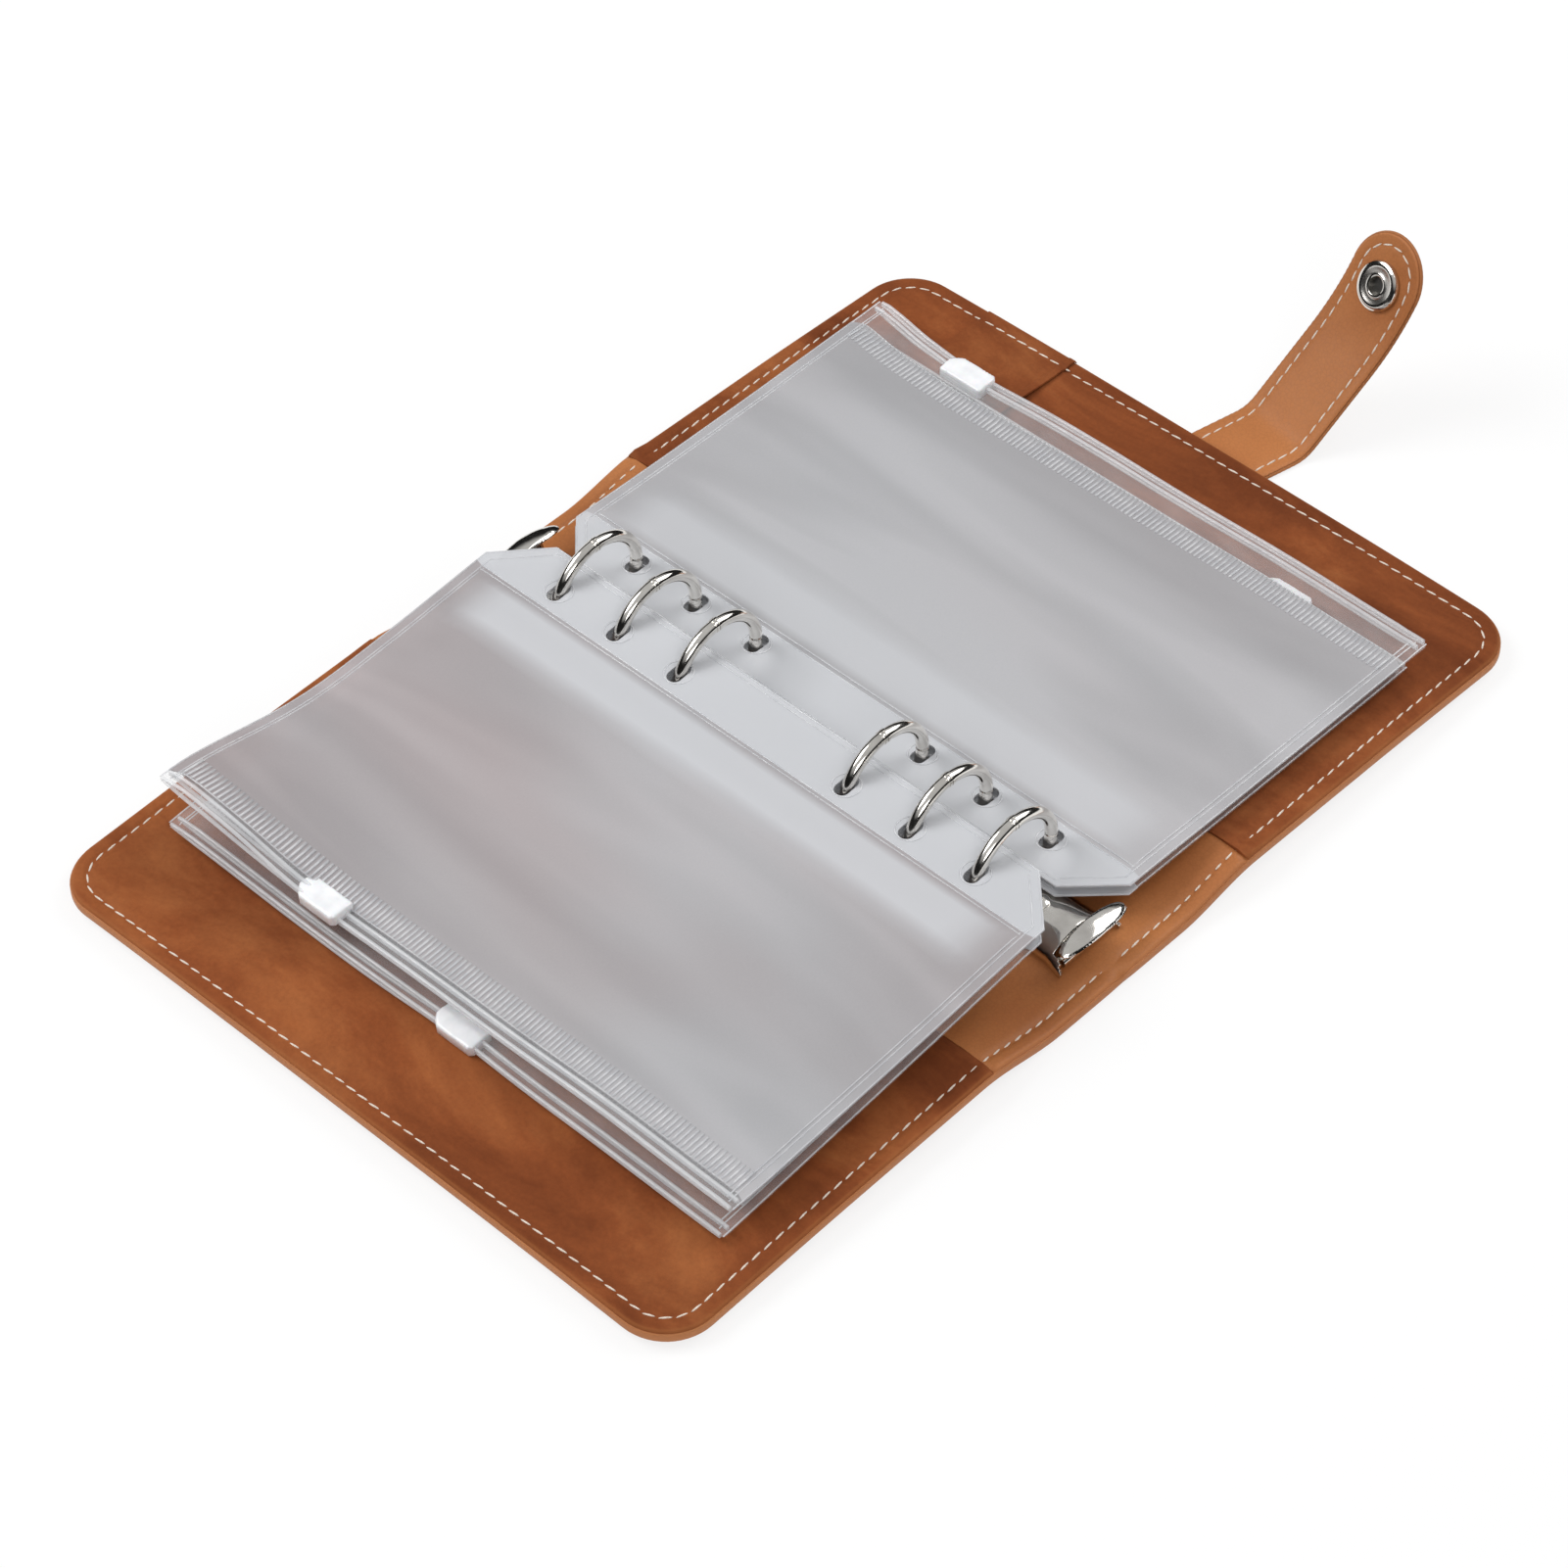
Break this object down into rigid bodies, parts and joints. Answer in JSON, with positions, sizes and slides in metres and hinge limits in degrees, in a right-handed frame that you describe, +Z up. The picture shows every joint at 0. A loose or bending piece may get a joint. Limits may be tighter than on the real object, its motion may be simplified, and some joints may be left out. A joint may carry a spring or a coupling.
{
  "type": "cash envelope wallet",
  "caption": "Open ring-binder wallet with suede-lined leather covers, a snap strap, a lever-opened ring mechanism and frosted zip envelopes on the rings.",
  "frame": {"origin": "middle of the spine's underside, the flat strip between the two cover folds", "axes": "+X across the open covers towards the strap, +Y along the spine, +Z up out of the lining"},
  "size_m": [0.3329, 0.1914, 0.0442],
  "materials": {
    "tan_leather": "smooth tan",
    "suede": "napped brown",
    "board": "grey paperboard",
    "nickel": "polished nickel",
    "frosted_film": "frosted film",
    "clear_vinyl": "clear vinyl",
    "white_plastic": "glossy white"
  },
  "bodies": {
    "spine": {"spine_leather": "tan_leather", "spine_board": "board", "spine_lining": "tan_leather", "ring_plate": "nickel", "plate_rivet_near": "nickel", "plate_rivet_far": "nickel"},
    "front_cover": {"front_leather": "tan_leather", "front_board": "board", "front_lining": "suede", "front_hinge_lining": "tan_leather", "snap_stud": "nickel"},
    "back_cover": {"back_leather": "tan_leather", "back_board": "board", "back_lining": "suede", "back_hinge_lining": "tan_leather", "pocket_band": "suede", "strap_root": "tan_leather"},
    "strap": {"strap_face": "tan_leather", "strap_back": "tan_leather", "snap_socket": "nickel", "snap_cap": "nickel"},
    "left_rings": {"left_rail": "nickel", "left_ring_1": "nickel", "left_ring_2": "nickel", "left_ring_3": "nickel", "left_ring_4": "nickel", "left_ring_5": "nickel", "left_ring_6": "nickel"},
    "right_rings": {"right_rail": "nickel", "right_ring_1": "nickel", "right_ring_2": "nickel", "right_ring_3": "nickel", "right_ring_4": "nickel", "right_ring_5": "nickel", "right_ring_6": "nickel"},
    "near_lever": {"lever_near": "nickel"},
    "far_lever": {"lever_far": "nickel"},
    "left_stack": {"left_lower_pouch": "frosted_film", "left_lower_zip": "clear_vinyl"},
    "left_page": {"left_upper_pouch": "frosted_film", "left_upper_zip": "clear_vinyl"},
    "right_stack": {"right_lower_pouch": "frosted_film", "right_lower_zip": "clear_vinyl"},
    "right_page": {"right_upper_pouch": "frosted_film", "right_upper_zip": "clear_vinyl"},
    "left_stack_slider": {"left_lower_slider": "white_plastic"},
    "left_page_slider": {"left_upper_slider": "white_plastic"},
    "right_stack_slider": {"right_lower_slider": "white_plastic"},
    "right_page_slider": {"right_upper_slider": "white_plastic"}
  },
  "joints": [
    {"name": "front_cover_fold", "type": "hinge", "parent": "spine", "child": "front_cover", "pos_m": [-0.02, 0, 0.0035], "axis": [0, 1, 0], "range_deg": [0, 90]},
    {"name": "back_cover_fold", "type": "hinge", "parent": "spine", "child": "back_cover", "pos_m": [0.02, 0, 0.0035], "axis": [0, -1, 0], "range_deg": [0, 90]},
    {"name": "left_stack_turn", "type": "hinge", "parent": "spine", "child": "left_stack", "pos_m": [-0.003, 0, 0.0181], "axis": [0, 1, 0], "range_deg": [0, 90]},
    {"name": "right_stack_turn", "type": "hinge", "parent": "spine", "child": "right_stack", "pos_m": [0, 0, 0.015], "axis": [0, -1, 0], "range_deg": [0, 90]},
    {"name": "left_page_turn", "type": "hinge", "parent": "left_stack", "child": "left_page", "pos_m": [0, 0, 0.015], "axis": [0, -1, 0], "range_deg": [-60, 0]},
    {"name": "right_page_turn", "type": "hinge", "parent": "right_stack", "child": "right_page", "pos_m": [0, 0, 0.015], "axis": [0, 1, 0], "range_deg": [-60, 0]},
    {"name": "left_rings_open", "type": "hinge", "parent": "spine", "child": "left_rings", "pos_m": [0, 0, 0.005], "axis": [0, -1, 0], "range_deg": [0, 9]},
    {"name": "right_rings_open", "type": "hinge", "parent": "spine", "child": "right_rings", "pos_m": [0, 0, 0.005], "axis": [0, 1, 0], "range_deg": [0, 9]},
    {"name": "near_lever_press", "type": "hinge", "parent": "spine", "child": "near_lever", "pos_m": [0, -0.0846, 0.0052], "axis": [1, 0, 0], "range_deg": [0, 18]},
    {"name": "far_lever_press", "type": "hinge", "parent": "spine", "child": "far_lever", "pos_m": [0, 0.0846, 0.0052], "axis": [-1, 0, 0], "range_deg": [0, 18]},
    {"name": "strap_bend", "type": "hinge", "parent": "back_cover", "child": "strap", "pos_m": [0.14025, 0, 0.00135], "axis": [0, -1, 0], "range_deg": [0, 35]},
    {"name": "left_page_zip", "type": "slide", "parent": "left_page", "child": "left_page_slider", "axis": [0, 1, 0], "range_m": [-0.115, 0.037]},
    {"name": "left_stack_zip", "type": "slide", "parent": "left_stack", "child": "left_stack_slider", "axis": [0, 1, 0], "range_m": [-0.071, 0.081]},
    {"name": "right_page_zip", "type": "slide", "parent": "right_page", "child": "right_page_slider", "axis": [0, 1, 0], "range_m": [-0.128, 0.024]},
    {"name": "right_stack_zip", "type": "slide", "parent": "right_stack", "child": "right_stack_slider", "axis": [0, 1, 0], "range_m": [-0.026, 0.126]}
  ],
  "couplings": [
    {"joint": "left_stack_turn", "follows": "front_cover_fold", "ratio": 1},
    {"joint": "right_stack_turn", "follows": "back_cover_fold", "ratio": 1},
    {"joint": "right_rings_open", "follows": "left_rings_open", "ratio": 1},
    {"joint": "near_lever_press", "follows": "left_rings_open", "ratio": 2},
    {"joint": "far_lever_press", "follows": "left_rings_open", "ratio": 2}
  ]
}
